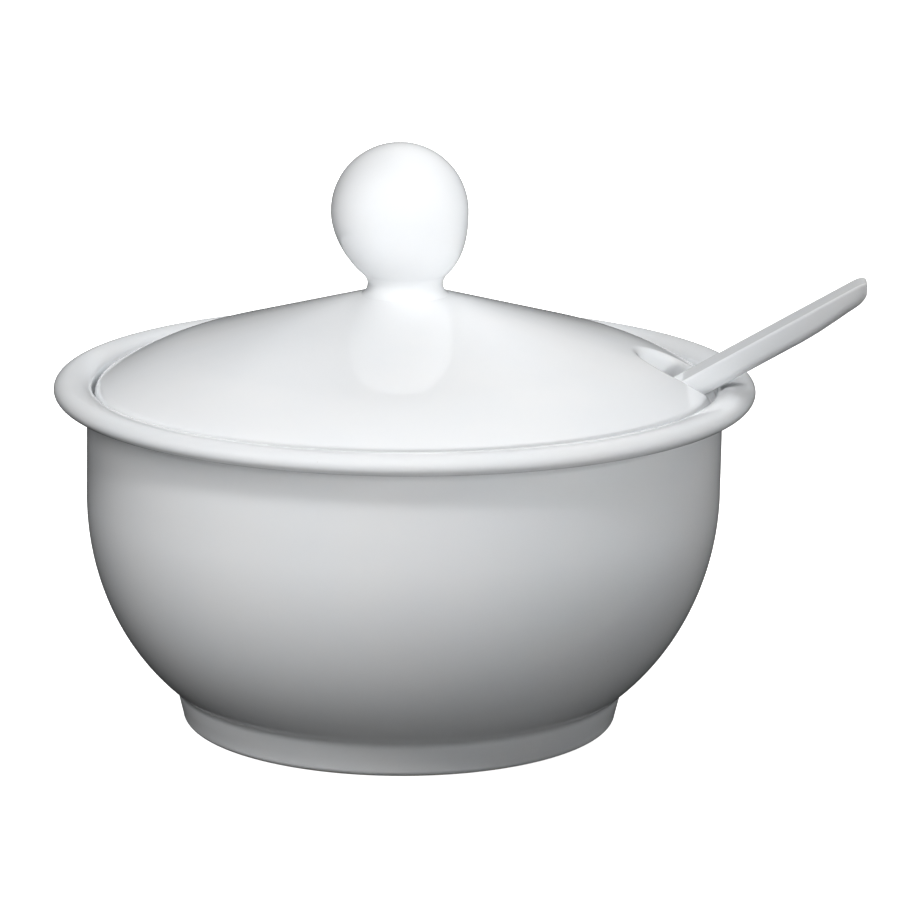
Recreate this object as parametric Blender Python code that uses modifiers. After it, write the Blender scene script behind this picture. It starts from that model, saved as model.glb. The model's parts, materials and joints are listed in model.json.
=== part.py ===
"""Sugar bowl: a footed bowl with a rolled rim, a notched lid with a ball knob, and a spoon.

Metres, +Z up.  The bowl stands on z = 0, the spoon leaves it towards +X, and the origin is the
middle of the whole object's footprint, so the bowl's own axis lies a little on the -X side.
"""
import math

import bmesh
import bpy

MM = 0.001

# Bowl: outside
RIM_RADIUS = 60.0 * MM
BEAD_HALF_WIDTH = 2.4 * MM
BEAD_HALF_HEIGHT = 1.85 * MM
BEAD_Z = 58.6 * MM               # level of the rolled rim's outermost point
BEAD_ROOT_HEIGHT = 2.0 * MM      # hollow rounding between the rim and the wall
BODY_RADIUS = 54.4 * MM          # upright part of the wall
BODY_TURN_Z = 40.4 * MM          # below this level the wall curves in towards the foot
BODY_CURVE_WIDTH = 36.0 * MM     # half axes of the quarter ellipse that the outside follows
BODY_CURVE_HEIGHT = 41.6 * MM
BODY_END_Z = 6.4 * MM            # where that curve runs into the foot ring
FOOT_TOP_RADIUS = 38.4 * MM
FOOT_TOP_Z = 4.8 * MM
FOOT_LOW_RADIUS = 37.5 * MM
FOOT_ROUND = 1.2 * MM
FOOT_CONTACT_WIDTH = 2.2 * MM    # flat ring that touches the table
FOOT_INNER_SLOPE = 2.6 * MM
FOOT_RECESS = 2.2 * MM           # height of the hollow under the bowl

# Bowl: inside
WALL = 3.7 * MM
FLOOR_Z = 6.2 * MM
SEAT_RADIUS = 53.5 * MM          # wall around the lid
SEAT_Z = 56.2 * MM               # ledge that carries the lid
SEAT_CORNER = 0.7 * MM

# Lid
LID_CLEARANCE = 0.4 * MM         # between the lid's edge and the seat's wall
REST_GAP = 0.3 * MM              # between pieces that rest on each other
LID_THICKNESS = 3.3 * MM
LID_CROWN_Z = 74.2 * MM          # where the straight flank starts, at the knob's pad
LID_FLANK_SLOPE = math.radians(16.1)
LID_FLANK_MIDDLE = 24.0 * MM
LID_SHOULDER_START = 38.0 * MM   # here the flank turns into a round shoulder
LID_SHOULDER_RADIUS = 55.0 * MM
LID_EDGE_ROUND = 1.0 * MM
LID_UNDER_ROUND = 0.7 * MM
PAD_RADIUS = 7.4 * MM
PAD_FILLET = 1.9 * MM
PAD_HEIGHT = 1.05 * MM
FLANGE_CLEARANCE = 0.9 * MM      # locating flange inside the bowl's wall
FLANGE_WIDTH = 3.0 * MM
FLANGE_DEPTH = 3.6 * MM          # below the bowl's ledge
FLANGE_CORNER = 0.8 * MM
FLANGE_BLEND = 2.0 * MM          # slope between the flange and the lid's underside
VENT_RADIUS = 2.5 * MM

# Notch for the spoon, seen from above: a round inner end, straight sides and a flared mouth
NOTCH_INNER_REACH = 40.0 * MM
NOTCH_HALF_WIDTH = 7.0 * MM
NOTCH_MOUTH_ROUND = 2.2 * MM
NOTCH_OVERRUN = 4.0 * MM         # cutter beyond the lid's edge
NOTCH_CUT_HALF_HEIGHT = 15.0 * MM

# Knob
BALL_RADIUS = 11.72 * MM
BALL_Z = 89.0 * MM
BALL_LOWER_HALF_HEIGHT = 13.7 * MM
NECK_RADIUS = 6.6 * MM
NECK_BLEND = 0.7 * MM            # hollow rounding between the ball and the neck
NECK_BLEND_HEIGHT = 1.5 * MM
NECK_FLARE = 0.9 * MM
KNOB_WALL = 5.1 * MM

# Spoon
SPOON_SLOPE = math.radians(30.0)
SPOON_LENGTH = 132.0 * MM
HANDLE_OUT = 29.4 * MM           # handle beyond the place where it rests on the rim
SPOON_SIDE = -2.0 * MM           # it lies this far off the middle of the notch
HANDLE_WIDTH = 7.4 * MM
HANDLE_THICKNESS = 4.2 * MM
HANDLE_TAPER_START = 40.0 * MM
TIP_WIDTH = 7.1 * MM
TIP_THICKNESS = 3.3 * MM
TIP_TAPER = 14.0 * MM            # the underside rises over this length, the top stays straight
TIP_SLANT_LENGTH = 8.0 * MM      # over this length the sections turn until the end stands upright
TIP_ROUND = 2.2 * MM
TIP_BLUNTNESS = 0.62             # size of the end face as a share of the section behind it
NECK_WIDTH = 5.0 * MM
SCOOP_LENGTH = 33.0 * MM
SCOOP_WIDTH = 23.0 * MM
SCOOP_THICKNESS = 2.2 * MM
SCOOP_DEPTH = 6.0 * MM
SCOOP_RISE = 9.0 * MM            # scoop's far tip stands this far above the handle's line
SCOOP_BEND_LEAD = 8.0 * MM       # the bend starts this far up the neck
SCOOP_BEND_POWER = 1.6
HANDLE_EDGE_POWER = 0.4          # superellipse powers: square-shouldered handle, round scoop edge
SCOOP_EDGE_POWER = 0.7

TURN_STEPS = 64
KNOB_STEPS = 36
MERGE_DISTANCE = 0.01 * MM
SHARP_ANGLE = math.radians(40.0)

INNER_RADIUS = BODY_RADIUS - WALL
BEAD_RADIUS = RIM_RADIUS - BEAD_HALF_WIDTH
BEAD_INNER_HALF_WIDTH = BEAD_RADIUS - SEAT_RADIUS
CURVE_CENTRE = (BODY_RADIUS - BODY_CURVE_WIDTH, BODY_TURN_Z)
LID_RADIUS = SEAT_RADIUS - LID_CLEARANCE
LID_SEAT_Z = SEAT_Z + REST_GAP
FLANK_START = PAD_RADIUS + PAD_FILLET
PAD_Z = LID_CROWN_Z + PAD_HEIGHT
SCOOP_START = SPOON_LENGTH - SCOOP_LENGTH


def clear_scene():
    for item in list(bpy.data.objects):
        bpy.data.objects.remove(item, do_unlink=True)


def new_collection(name):
    group = bpy.data.collections.new(name)
    bpy.context.scene.collection.children.link(group)
    return group


def porcelain(name, colour, roughness):
    material = bpy.data.materials.new(name)
    material.use_nodes = True
    shader = material.node_tree.nodes["Principled BSDF"]
    shader.inputs["Base Color"].default_value = (*colour, 1.0)
    shader.inputs["Roughness"].default_value = roughness
    shader.inputs["Metallic"].default_value = 0.0
    return material


def arc(centre, half_width, half_height, start, end, steps):
    """Points of an elliptical arc in the (radius, height) plane; degrees, 0 points outwards."""
    points = []
    for step in range(steps + 1):
        angle = math.radians(start + (end - start) * step / steps)
        radius = centre[0] + half_width * math.cos(angle)
        height = centre[1] + half_height * math.sin(angle)
        points.append((radius, height))
    return points


def sweep(start, guide, end, steps):
    """Points of a curve from start to end that bends towards guide, without its first point."""
    points = []
    for step in range(1, steps + 1):
        t = step / steps
        weights = ((1 - t) ** 2, 2 * t * (1 - t), t * t)
        corners = (start, guide, end)
        radius = sum(w * p[0] for w, p in zip(weights, corners))
        height = sum(w * p[1] for w, p in zip(weights, corners))
        points.append((radius, height))
    return points


def mesh_object(name, vertices, edges, faces, group, material):
    mesh = bpy.data.meshes.new(name)
    mesh.from_pydata(vertices, edges, faces)
    mesh.materials.append(material)
    item = bpy.data.objects.new(name, mesh)
    group.objects.link(item)
    return item


def turned(name, profile, closed, steps, group, material):
    """Solid of revolution about Z from a profile of (radius, height) points."""
    vertices = [(radius, 0.0, height) for radius, height in profile]
    edges = [(i, i + 1) for i in range(len(profile) - 1)]
    if closed:
        edges.append((len(profile) - 1, 0))
    item = mesh_object(name, vertices, edges, [], group, material)
    screw = item.modifiers.new("turn", "SCREW")
    screw.steps = steps
    screw.render_steps = steps
    screw.use_merge_vertices = True
    screw.merge_threshold = MERGE_DISTANCE
    screw.use_smooth_shade = True
    return item


def bowl_profile():
    """From the middle of the floor, up the inside, over the rim and down to the foot."""
    inner_width = BODY_CURVE_WIDTH - WALL
    profile = [(0.0, FLOOR_Z)]
    profile += arc(CURVE_CENTRE, inner_width, BODY_TURN_Z - FLOOR_Z, -90, 0, 10)
    corner = (INNER_RADIUS + SEAT_CORNER, SEAT_Z - SEAT_CORNER)
    profile += arc(corner, SEAT_CORNER, SEAT_CORNER, 180, 90, 2)
    profile.append((SEAT_RADIUS, SEAT_Z))
    bead = (BEAD_RADIUS, BEAD_Z)
    profile += arc(bead, BEAD_INNER_HALF_WIDTH, BEAD_HALF_HEIGHT, 160, 90, 4)
    profile += arc(bead, BEAD_HALF_WIDTH, BEAD_HALF_HEIGHT, 70, -90, 8)
    root = (BODY_RADIUS, BEAD_Z - BEAD_HALF_HEIGHT)
    profile += sweep(profile[-1], root, (BODY_RADIUS, root[1] - BEAD_ROOT_HEIGHT), 3)
    drop = (BODY_TURN_Z - BODY_END_Z) / BODY_CURVE_HEIGHT
    end_angle = -math.degrees(math.asin(drop))
    profile += arc(CURVE_CENTRE, BODY_CURVE_WIDTH, BODY_CURVE_HEIGHT, 0, end_angle, 10)
    foot_top = (FOOT_TOP_RADIUS, FOOT_TOP_Z)
    profile += sweep(profile[-1], (FOOT_TOP_RADIUS, (BODY_END_Z + FOOT_TOP_Z) / 2), foot_top, 2)
    contact_outer = FOOT_LOW_RADIUS - FOOT_ROUND
    contact_inner = contact_outer - FOOT_CONTACT_WIDTH
    profile += arc((contact_outer, FOOT_ROUND), FOOT_ROUND, FOOT_ROUND, 0, -90, 3)
    profile += arc((contact_inner, FOOT_ROUND), FOOT_ROUND, FOOT_ROUND, -90, -180, 2)
    profile.append((contact_inner - FOOT_INNER_SLOPE, FOOT_RECESS))
    profile.append((0.0, FOOT_RECESS))
    return profile


def lid_top(radius):
    """Height of the lid's upper face outside the knob's pad."""
    straight = min(radius, LID_SHOULDER_START) - FLANK_START
    height = LID_CROWN_Z - straight * math.tan(LID_FLANK_SLOPE)
    if radius > LID_SHOULDER_START:
        rise = math.sin(LID_FLANK_SLOPE) + (radius - LID_SHOULDER_START) / LID_SHOULDER_RADIUS
        fall = math.cos(LID_FLANK_SLOPE) - math.sqrt(1.0 - rise * rise)
        height -= LID_SHOULDER_RADIUS * fall
    return height


def lid_profile():
    """From the vent's upper edge, out over the top, round the edge and back underneath."""
    profile = [(VENT_RADIUS, PAD_Z), (PAD_RADIUS, PAD_Z)]
    guide = (PAD_RADIUS + 0.2 * PAD_FILLET, LID_CROWN_Z + 0.3 * PAD_HEIGHT)
    profile += sweep(profile[-1], guide, (FLANK_START, LID_CROWN_Z), 3)
    profile.append((LID_FLANK_MIDDLE, lid_top(LID_FLANK_MIDDLE)))
    top_end = LID_RADIUS - LID_EDGE_ROUND
    shoulder_steps = 7
    for step in range(shoulder_steps + 1):
        radius = LID_SHOULDER_START + (top_end - LID_SHOULDER_START) * step / shoulder_steps
        profile.append((radius, lid_top(radius)))
    side = (top_end, lid_top(top_end) - LID_EDGE_ROUND)
    profile += arc(side, LID_EDGE_ROUND, LID_EDGE_ROUND, 50, 0, 2)
    low = (LID_RADIUS - LID_UNDER_ROUND, LID_SEAT_Z + LID_UNDER_ROUND)
    profile += arc(low, LID_UNDER_ROUND, LID_UNDER_ROUND, 0, -90, 2)
    outer = INNER_RADIUS - FLANGE_CLEARANCE
    inner = outer - FLANGE_WIDTH
    bottom = SEAT_Z - FLANGE_DEPTH
    profile.append((outer, LID_SEAT_Z))
    outer_corner = (outer - FLANGE_CORNER, bottom + FLANGE_CORNER)
    profile += arc(outer_corner, FLANGE_CORNER, FLANGE_CORNER, 0, -90, 2)
    inner_corner = (inner + FLANGE_CORNER, bottom + FLANGE_CORNER)
    profile += arc(inner_corner, FLANGE_CORNER, FLANGE_CORNER, -90, -180, 2)
    for radius in (inner - FLANGE_BLEND, LID_SHOULDER_START, LID_FLANK_MIDDLE, FLANK_START):
        profile.append((radius, lid_top(radius) - LID_THICKNESS))
    profile.append((VENT_RADIUS, LID_CROWN_Z - LID_THICKNESS + PAD_HEIGHT / 2))
    return profile


def knob_profile():
    """From the top of the ball down to the base, then up the vent into the hollow."""
    base_z = PAD_Z + REST_GAP
    ball = (0.0, BALL_Z)
    profile = arc(ball, BALL_RADIUS, BALL_RADIUS, 90, 0, 8)
    blend_angle = math.degrees(math.acos((NECK_RADIUS + NECK_BLEND) / BALL_RADIUS))
    profile += arc(ball, BALL_RADIUS, BALL_LOWER_HALF_HEIGHT, 0, -blend_angle, 6)[1:]
    neck = (NECK_RADIUS, profile[-1][1] - NECK_BLEND_HEIGHT)
    profile += sweep(profile[-1], (NECK_RADIUS, neck[1] + NECK_BLEND), neck, 2)
    profile += sweep(neck, (NECK_RADIUS, base_z), (NECK_RADIUS + NECK_FLARE, base_z), 3)
    profile.append((VENT_RADIUS, base_z))
    hollow = BALL_RADIUS - KNOB_WALL
    mouth_angle = math.degrees(math.acos(VENT_RADIUS / hollow))
    profile += arc(ball, hollow, hollow, -mouth_angle, 90, 8)
    return profile


def notch_outline():
    """The notch seen from above, as a closed loop that runs past the lid's edge."""
    end = (NOTCH_INNER_REACH + NOTCH_HALF_WIDTH, 0.0)
    mouth = (LID_RADIUS - NOTCH_MOUTH_ROUND, NOTCH_HALF_WIDTH + NOTCH_MOUTH_ROUND)
    side = arc(end, NOTCH_HALF_WIDTH, NOTCH_HALF_WIDTH, 180, 90, 6)
    side += arc(mouth, NOTCH_MOUTH_ROUND, NOTCH_MOUTH_ROUND, -90, 0, 4)
    side.append((LID_RADIUS + NOTCH_OVERRUN, mouth[1]))
    mirrored = [(x, -y) for x, y in reversed(side[1:])]
    return side + mirrored


def notch_cutter(group):
    """The notch's outline as a tall prism, made a mesh so that it can cut."""
    outline = notch_outline()
    curve = bpy.data.curves.new("notch_outline", "CURVE")
    curve.dimensions = "2D"
    curve.fill_mode = "BOTH"
    curve.extrude = NOTCH_CUT_HALF_HEIGHT
    spline = curve.splines.new("POLY")
    spline.points.add(len(outline) - 1)
    for point, (x, y) in zip(spline.points, outline):
        point.co = (x, y, 0.0, 1.0)
    spline.use_cyclic_u = True
    flat = bpy.data.objects.new("notch_outline", curve)
    group.objects.link(flat)
    flat.location = (0.0, 0.0, SEAT_Z)
    bpy.context.view_layer.update()
    depsgraph = bpy.context.evaluated_depsgraph_get()
    mesh = bpy.data.meshes.new_from_object(flat.evaluated_get(depsgraph))
    work = bmesh.new()
    work.from_mesh(mesh)
    bmesh.ops.remove_doubles(work, verts=work.verts, dist=MERGE_DISTANCE)
    bmesh.ops.recalc_face_normals(work, faces=work.faces)
    work.to_mesh(mesh)
    work.free()
    cutter = bpy.data.objects.new("notch_cutter", mesh)
    group.objects.link(cutter)
    cutter.matrix_world = flat.matrix_world.copy()
    bpy.data.objects.remove(flat, do_unlink=True)
    cutter.hide_render = True
    cutter.display_type = "WIRE"
    return cutter


def ease(value, low, high):
    """0 up to low, 1 from high on, with a smooth rise between them."""
    t = min(1.0, max(0.0, (value - low) / (high - low)))
    return t * t * (3.0 - 2.0 * t)


def spoon_section(along):
    """Half width, half thickness, centre height, sag and edge power at a place along the spoon.

    along runs from 0 at the handle's end to SPOON_LENGTH at the scoop's tip.
    """
    full = ease(along, 0.0, TIP_TAPER)
    width = TIP_WIDTH + (HANDLE_WIDTH - TIP_WIDTH) * full
    slim = ease(along, HANDLE_TAPER_START, SCOOP_START - SCOOP_BEND_LEAD)
    width += (NECK_WIDTH - HANDLE_WIDTH) * slim
    thickness = TIP_THICKNESS + (HANDLE_THICKNESS - TIP_THICKNESS) * full
    centre = HANDLE_THICKNESS - thickness / 2
    scooped = ease(along, SCOOP_START - 2 * SCOOP_BEND_LEAD, SCOOP_START + SCOOP_BEND_LEAD)
    thickness += (SCOOP_THICKNESS - thickness) * scooped
    sag = 0.0
    if along > SCOOP_START:
        across = (along - SCOOP_START) / (SCOOP_LENGTH / 2) - 1.0
        dish = 1.0 - across * across
        sag = SCOOP_DEPTH * dish
        oval = SCOOP_WIDTH * math.sqrt(dish)
        width = oval if across > 0.0 else max(width, oval)
    bent = (along - SCOOP_START + SCOOP_BEND_LEAD) / (SCOOP_LENGTH + SCOOP_BEND_LEAD)
    centre += SCOOP_RISE * max(0.0, bent) ** SCOOP_BEND_POWER
    short = 1.0 - min(1.0, along / TIP_ROUND)
    size = TIP_BLUNTNESS + (1.0 - TIP_BLUNTNESS) * math.sqrt(1.0 - short * short)
    power = HANDLE_EDGE_POWER + (SCOOP_EDGE_POWER - HANDLE_EDGE_POWER) * scooped
    return width / 2 * size, thickness / 2 * size, centre, sag, power


def spoon_stations():
    """Places along the spoon where a section is drawn, close together where it changes."""
    stations = [0.0, TIP_ROUND / 3, TIP_ROUND]
    handle_steps = 9
    for step in range(1, handle_steps + 1):
        stations.append(TIP_ROUND + (SCOOP_START - TIP_ROUND) * step / (handle_steps + 1))
    scoop_steps = 16
    for step in range(scoop_steps):
        turn = math.pi * (step + 0.5) / scoop_steps
        stations.append(SCOOP_START + SCOOP_LENGTH * (1.0 - math.cos(turn)) / 2)
    return stations


def spoon_ring(along, count):
    """One closed section of the spoon; the handle's underside lies in the plane z = 0."""
    half_width, half_thickness, centre, sag, power = spoon_section(along)
    slant = math.tan(SPOON_SLOPE) * (1.0 - ease(along, 0.0, TIP_SLANT_LENGTH))
    ring = []
    for step in range(count):
        angle = 2.0 * math.pi * (step + 0.5) / count
        side = math.copysign(abs(math.cos(angle)) ** power, math.cos(angle))
        lift = math.copysign(abs(math.sin(angle)) ** power, math.sin(angle))
        height = centre - sag * (1.0 - side * side) + half_thickness * lift
        ring.append((HANDLE_OUT - along + slant * half_thickness * lift, half_width * side, height))
    return ring


def make_spoon(group, material):
    """Loft of sections: a rounded bar along the handle that widens into a dished scoop."""
    count = 16
    rings = [spoon_ring(along, count) for along in spoon_stations()]
    vertices = [point for ring in rings for point in ring]
    faces = [tuple(range(count))]
    for row in range(len(rings) - 1):
        for step in range(count):
            a = row * count + step
            b = row * count + (step + 1) % count
            faces.append((a, a + count, b + count, b))
    faces.append(tuple(reversed(range(len(vertices) - count, len(vertices)))))
    spoon = mesh_object("spoon", vertices, [], faces, group, material)
    work = bmesh.new()
    work.from_mesh(spoon.data)
    bmesh.ops.recalc_face_normals(work, faces=work.faces)
    work.to_mesh(spoon.data)
    work.free()
    spoon.data.shade_smooth()
    spoon.data.set_sharp_from_angle(angle=SHARP_ANGLE)
    return spoon


def rest_point():
    """Where the handle's underside lies on the rim: the inner side of the bead's crest."""
    angle = math.atan2(BEAD_HALF_HEIGHT, -BEAD_INNER_HALF_WIDTH * math.tan(SPOON_SLOPE))
    reach = BEAD_RADIUS + BEAD_INNER_HALF_WIDTH * math.cos(angle)
    height = BEAD_Z + BEAD_HALF_HEIGHT * math.sin(angle)
    reach -= REST_GAP * math.sin(SPOON_SLOPE)
    height += REST_GAP * math.cos(SPOON_SLOPE)
    return reach, height


def build():
    clear_scene()
    parts = new_collection("sugar_bowl")
    cutters = new_collection("cutters")

    reach, height = rest_point()
    end_middle = HANDLE_THICKNESS - TIP_THICKNESS / 2
    spoon_reach = reach + HANDLE_OUT * math.cos(SPOON_SLOPE) - end_middle * math.sin(SPOON_SLOPE)
    axis = bpy.data.objects.new("bowl_axis", None)
    parts.objects.link(axis)
    axis.location = ((RIM_RADIUS - spoon_reach) / 2, 0.0, 0.0)

    bowl_glaze = porcelain("bowl_porcelain", (0.80, 0.81, 0.82), 0.18)
    bowl = turned("bowl", bowl_profile(), False, TURN_STEPS, parts, bowl_glaze)
    bowl.parent = axis

    lid_glaze = porcelain("lid_porcelain", (0.84, 0.85, 0.86), 0.15)
    lid = turned("lid", lid_profile(), True, TURN_STEPS, parts, lid_glaze)
    lid.parent = axis
    cutter = notch_cutter(cutters)
    cutter.parent = axis
    cut = lid.modifiers.new("notch", "BOOLEAN")
    cut.operation = "DIFFERENCE"
    cut.object = cutter

    knob_glaze = porcelain("knob_porcelain", (0.86, 0.87, 0.88), 0.15)
    knob = turned("lid_knob", knob_profile(), False, KNOB_STEPS, parts, knob_glaze)
    knob.parent = lid

    spoon_glaze = porcelain("spoon_porcelain", (0.78, 0.79, 0.80), 0.20)
    spoon = make_spoon(parts, spoon_glaze)
    spoon.parent = axis
    spoon.location = (reach, SPOON_SIDE, height)
    spoon.rotation_euler = (0.0, -SPOON_SLOPE, 0.0)


build()
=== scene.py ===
"""Looks of the porcelain sugar bowl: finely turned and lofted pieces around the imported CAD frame.

Metres, +Z up, in the CAD's own frame.  Every piece takes its place from the CAD nodes' boxes.
"""

import json
import math

import bpy
import numpy as np
from mathutils import Matrix, Vector


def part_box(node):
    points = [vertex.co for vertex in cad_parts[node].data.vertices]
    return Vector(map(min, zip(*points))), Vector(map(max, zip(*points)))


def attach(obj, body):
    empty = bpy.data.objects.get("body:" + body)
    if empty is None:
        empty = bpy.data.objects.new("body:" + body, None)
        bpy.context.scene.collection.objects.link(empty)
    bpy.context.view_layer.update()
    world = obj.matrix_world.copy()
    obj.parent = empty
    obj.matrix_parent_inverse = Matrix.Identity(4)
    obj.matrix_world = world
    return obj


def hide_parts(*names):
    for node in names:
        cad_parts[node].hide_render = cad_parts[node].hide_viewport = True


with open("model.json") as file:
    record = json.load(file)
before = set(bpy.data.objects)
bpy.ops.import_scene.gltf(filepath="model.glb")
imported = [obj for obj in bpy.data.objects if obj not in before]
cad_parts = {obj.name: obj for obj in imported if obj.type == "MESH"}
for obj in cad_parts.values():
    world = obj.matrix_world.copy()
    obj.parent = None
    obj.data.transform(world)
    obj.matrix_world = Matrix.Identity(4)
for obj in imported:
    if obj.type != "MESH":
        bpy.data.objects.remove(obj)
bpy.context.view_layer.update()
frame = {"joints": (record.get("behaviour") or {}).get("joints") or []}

MM = 0.001

# ---------------------------------------------------------------- places taken from the frame

BOWL_LOW, BOWL_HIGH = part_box("bowl")
LID_LOW, LID_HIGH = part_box("lid")
KNOB_LOW, KNOB_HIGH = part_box("lid_knob")
SPOON_LOW, SPOON_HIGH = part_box("spoon")
AXIS_X = (BOWL_LOW.x + BOWL_HIGH.x) / 2
SPOON_AXIS = next(j["axis"] for j in frame["joints"] if j["name"] == "spoon_draw")
SPOON_SLOPE = math.atan2(SPOON_AXIS[2], SPOON_AXIS[0])

# ---------------------------------------------------------------- sizes

# Bowl
RIM_RADIUS = 60.0 * MM
BEAD_HALF_WIDTH = 2.4 * MM
BEAD_HALF_HEIGHT = 1.85 * MM
BEAD_RADIUS = RIM_RADIUS - BEAD_HALF_WIDTH
BEAD_Z = BOWL_HIGH.z - BEAD_HALF_HEIGHT
BODY_RADIUS = 54.4 * MM
BODY_TURN_Z = 40.4 * MM
BODY_CURVE_WIDTH = 36.0 * MM
BODY_CURVE_HEIGHT = 41.6 * MM
BODY_END_Z = 6.4 * MM
CURVE_CENTRE = (BODY_RADIUS - BODY_CURVE_WIDTH, BODY_TURN_Z)
FOOT_TOP_RADIUS = 38.4 * MM
FOOT_TOP_Z = 4.8 * MM
FOOT_LOW_RADIUS = 37.5 * MM
FOOT_ROUND = 1.2 * MM
FOOT_CONTACT_WIDTH = 2.2 * MM
FOOT_RECESS = 2.2 * MM
FOOT_SHIFT = -0.7 * MM           # the cast leans this far by its foot
WALL = 3.7 * MM
INNER_RADIUS = BODY_RADIUS - WALL
FLOOR_Z = 6.2 * MM
FOOT_TOP_BLEND = 0.6 * MM        # how far the hollow over the foot reaches below the body's end
FOOT_INNER_BEND = 2.2 * MM       # the ring's inner side turns into the recess over this width,
FOOT_INNER_END = 5.0 * MM        # and is level with it this far from the contact ring
SEAT_RADIUS = 53.5 * MM
SEAT_Z = 56.2 * MM
SEAT_CORNER = 0.7 * MM
SEAT_FILLET = 0.6 * MM
BEAD_ROOT = 2.0 * MM             # height of the hollow under the rim's bead
BOWL_SWELL = 0.05 * MM

# Lid
LID_RADIUS = (LID_HIGH.y - LID_LOW.y) / 2
SEAT_GAP = 0.3 * MM
LID_SEAT_Z = SEAT_Z + SEAT_GAP
LID_THICKNESS = 3.3 * MM
LID_CROWN_RADIUS = 9.3 * MM
LID_CROWN_Z = 74.2 * MM
LID_FLANK_SLOPE = math.radians(16.1)
LID_SHOULDER_START = 38.0 * MM
LID_SHOULDER_RADIUS = 55.0 * MM
LID_TOP_ROUND = 1.3 * MM
LID_UNDER_ROUND = 0.7 * MM
VENT_RADIUS = 2.5 * MM
FLANGE_OUTER = INNER_RADIUS - 0.9 * MM
FLANGE_INNER = FLANGE_OUTER - 3.0 * MM
FLANGE_LOW = LID_LOW.z
FLANGE_ROUND = 0.9 * MM
FLANGE_DRAFT = 0.25 * MM
FLANGE_FILLET = 2.4 * MM
FLANGE_FILLET_STRETCH = 1.3      # the fillet's height over its width
FLANGE_FILLET_GUIDE = 0.6 * MM
FLANGE_ROOT_HEIGHT = 0.3 * MM
FLANGE_ROOT_WIDTH = 0.4 * MM
NOTCH_REACH = 40.0 * MM
NOTCH_HALF_WIDTH = 7.0 * MM
NOTCH_MOUTH_ROUND = 1.3 * MM
NOTCH_COLLAR = 2.0 * MM          # how much thicker the lid is round the notch
NOTCH_COLLAR_START = 1.0 * MM
NOTCH_COLLAR_WIDTH = 5.0 * MM
COLLAR_TO_FLANGE = 2.0 * MM      # the collar fades out over this width inside the flange
LID_SWELL = 0.04 * MM

# Knob
BALL_RADIUS = (KNOB_HIGH.x - KNOB_LOW.x) / 2
BALL_Z = KNOB_HIGH.z - BALL_RADIUS
BALL_LOWER_HALF_HEIGHT = 13.7 * MM
BALL_SHIFT = -1.0 * MM           # the ball sits this far off the neck's axis
NECK_RADIUS = 6.45 * MM
NECK_TOP_BLEND = 0.7 * MM
NECK_FILLET = 1.6 * MM
NECK_FILLET_STRETCH = 1.35       # the fillet's height over its width
NECK_TOP_GUIDE = 0.8 * MM
NECK_SINK = 0.12 * MM            # how deep the fillet's edge runs into the lid's surface
PLUG_INSET = 0.6 * MM
PLUG_DEPTH = 1.0 * MM            # how far the neck's flat end lies under its fillet's edge
VENT_FLARE_WIDTH = 0.4 * MM
VENT_FLARE_TOP = 0.6 * MM
VENT_DEPTH = 6.0 * MM
KNOB_SWELL = 0.04 * MM

# Spoon
SPOON_LENGTH = 132.0 * MM
HANDLE_WIDTH = 7.4 * MM
HANDLE_THICKNESS = 4.2 * MM
HANDLE_TAPER_START = 40.0 * MM
TIP_WIDTH = 7.1 * MM
TIP_THICKNESS = 3.3 * MM
TIP_TAPER = 14.0 * MM
TIP_ROUND = 2.4 * MM
TIP_BLUNTNESS = 0.45
TIP_SLANT_LENGTH = 8.0 * MM      # the sections turn over this length until the end stands upright
NECK_WIDTH = 5.0 * MM
SCOOP_LENGTH = 33.0 * MM
SCOOP_START = SPOON_LENGTH - SCOOP_LENGTH
SCOOP_WIDTH = 23.0 * MM
SCOOP_THICKNESS = 2.2 * MM
SCOOP_DEPTH = 6.0 * MM
SCOOP_RISE = 9.0 * MM
SCOOP_BEND_LEAD = 8.0 * MM
SCOOP_BEND_POWER = 1.6
HANDLE_TOP_ROUND = 0.45 * MM
HANDLE_LOW_ROUND = 1.7 * MM
SCOOP_ROUND_SHARE = 0.495        # edge rounding over thickness; under half keeps the sides apart
WIDEST_ROUND_SHARE = 0.499       # largest edge rounding over width, for the same reason

# Meshes
BODY_STEPS = 288
KNOB_STEPS = 192
FACE_STEPS = 15                  # points along the handle section's upper and lower face,
SIDE_STEPS = 2                   # and along each of its sides
EDGE_STEPS = np.array([0.0, 0.03, 0.1, 0.22, 0.4, 0.6, 0.85, 1.15, 1.5]) * MM
SHORTEST_STEP = 0.012 * MM       # rows of the lid closer than this become one
SHORTEST_EDGE = 1e-7
BEND_LENGTH = 1.2 * MM           # bends with about this radius count as crisp
BEND_SMOOTHINGS = 3


# ---------------------------------------------------------------- profiles and meshes

def arc(centre, half_width, half_height, start, end, steps):
    """Points of an elliptical arc in the (radius, height) plane; degrees, 0 points outwards."""
    angles = np.radians(np.linspace(start, end, steps + 1))
    across = centre[0] + half_width * np.cos(angles)
    up = centre[1] + half_height * np.sin(angles)
    return list(zip(across, up))


def sweep(start, guide, end, steps):
    """Points of a curve from start to end that bends towards guide, without its first point."""
    t = np.linspace(0.0, 1.0, steps + 1)[1:, None]
    points = (1 - t) ** 2 * np.array(start) + 2 * t * (1 - t) * np.array(guide) + t * t * np.array(end)
    return [tuple(point) for point in points]


def add_object(name, data):
    item = bpy.data.objects.new(name, data)
    bpy.context.scene.collection.objects.link(item)
    return item


def mesh_object(name, vertices, faces):
    mesh = bpy.data.meshes.new(name)
    mesh.from_pydata([tuple(v) for v in vertices], [], faces)
    mesh.validate()
    mesh.shade_smooth()
    return add_object(name, mesh)


def ring_faces(first, second, count):
    """Quads between two closed rows of vertices that start at first and at second."""
    faces = []
    for j in range(count):
        following = (j + 1) % count
        faces.append((first + j, first + following, second + following, second + j))
    return faces


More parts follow.
